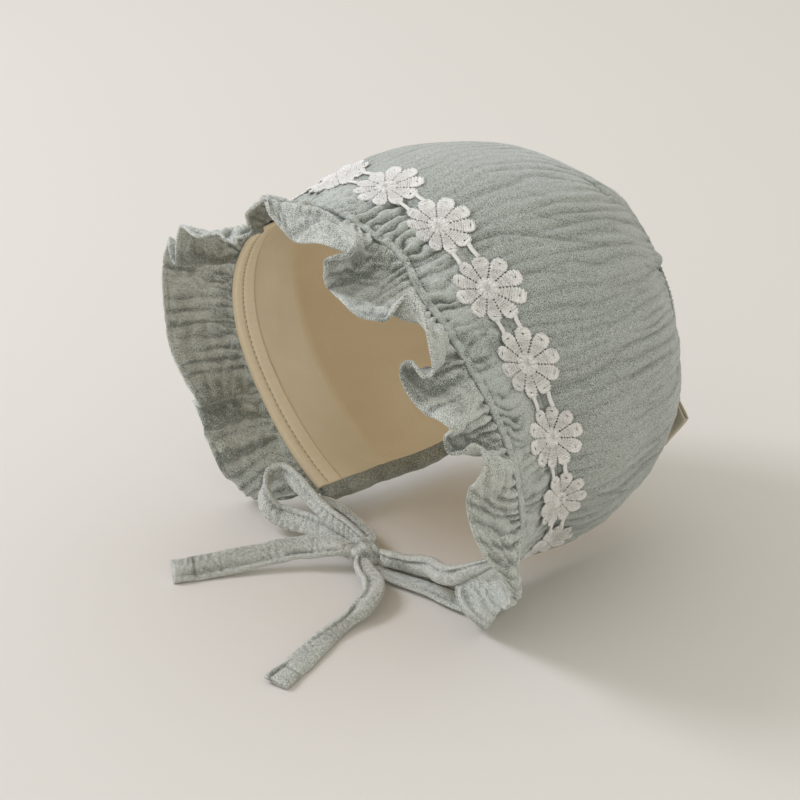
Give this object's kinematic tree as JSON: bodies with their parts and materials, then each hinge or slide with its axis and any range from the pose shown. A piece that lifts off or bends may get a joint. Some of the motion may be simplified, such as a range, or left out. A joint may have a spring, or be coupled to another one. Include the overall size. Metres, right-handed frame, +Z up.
{
  "type": "baby bonnet",
  "caption": "Baby bonnet of crinkled gauze with a round back panel, a frilled brim, a strip of daisy lace, a cream lining and a bow of flat ties under the chin.",
  "frame": {"origin": "the point inside the top of the crown where the hat bears on the wearer's head", "axes": "+Z up, -Y out of the face opening, +X towards the wearer's left ear"},
  "size_m": [0.1785, 0.1941, 0.1515],
  "materials": {
    "gauze": "crinkled cotton double gauze, sage green, matt",
    "frill_gauze": "gathered cotton gauze with a stitched hem, sage green, matt",
    "lining_cotton": "plain cream cotton, matt",
    "lace_cotton": "raised cotton embroidery lace, off-white, matt",
    "label_cotton": "folded cotton tape, cream, blank",
    "tie_gauze": "flat tube of cotton gauze, sage green, matt"
  },
  "bodies": {
    "root": {"crown": "gauze", "back": "gauze", "front_band": "gauze", "ruffle": "frill_gauze", "lining": "lining_cotton", "back_lining": "lining_cotton", "facing": "lining_cotton", "lace": "lace_cotton", "neck_binding": "gauze", "label": "label_cotton", "bow_knot": "tie_gauze", "tie_right_strap": "tie_gauze", "tie_left_strap": "tie_gauze", "tie_right_loop": "tie_gauze", "tie_left_loop": "tie_gauze", "tie_right_tail": "tie_gauze", "tie_left_tail": "tie_gauze"}
  },
  "joints": []
}
